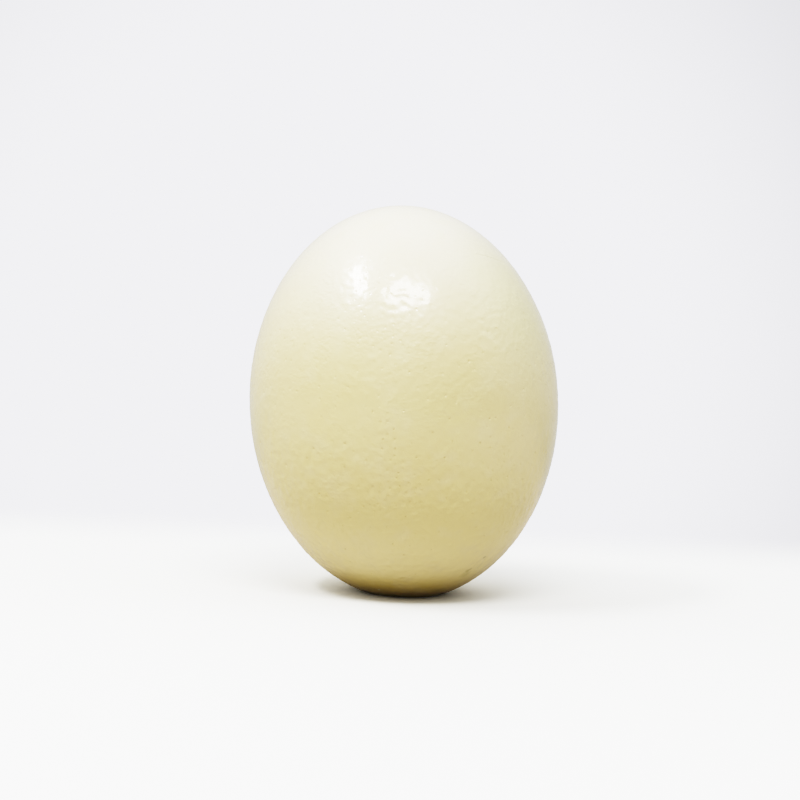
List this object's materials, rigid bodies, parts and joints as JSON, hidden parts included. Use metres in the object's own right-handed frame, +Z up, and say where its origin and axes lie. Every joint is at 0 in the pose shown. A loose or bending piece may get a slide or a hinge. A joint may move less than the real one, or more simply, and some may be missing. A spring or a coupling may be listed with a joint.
{
  "type": "ostrich egg",
  "caption": "Whole ostrich egg with a glossy cream, finely pitted shell, standing upright on a small flat spot with a slight lean.",
  "frame": {"origin": "on the floor, under the middle of the egg", "axes": "+Z up; the egg's upper end leans 4.5 degrees towards -X; -Y is the front"},
  "size_m": [0.1222, 0.1218, 0.1531],
  "materials": {
    "shell": "glossy cream eggshell with fine pits"
  },
  "bodies": {
    "root": {"egg": "shell"}
  },
  "joints": []
}
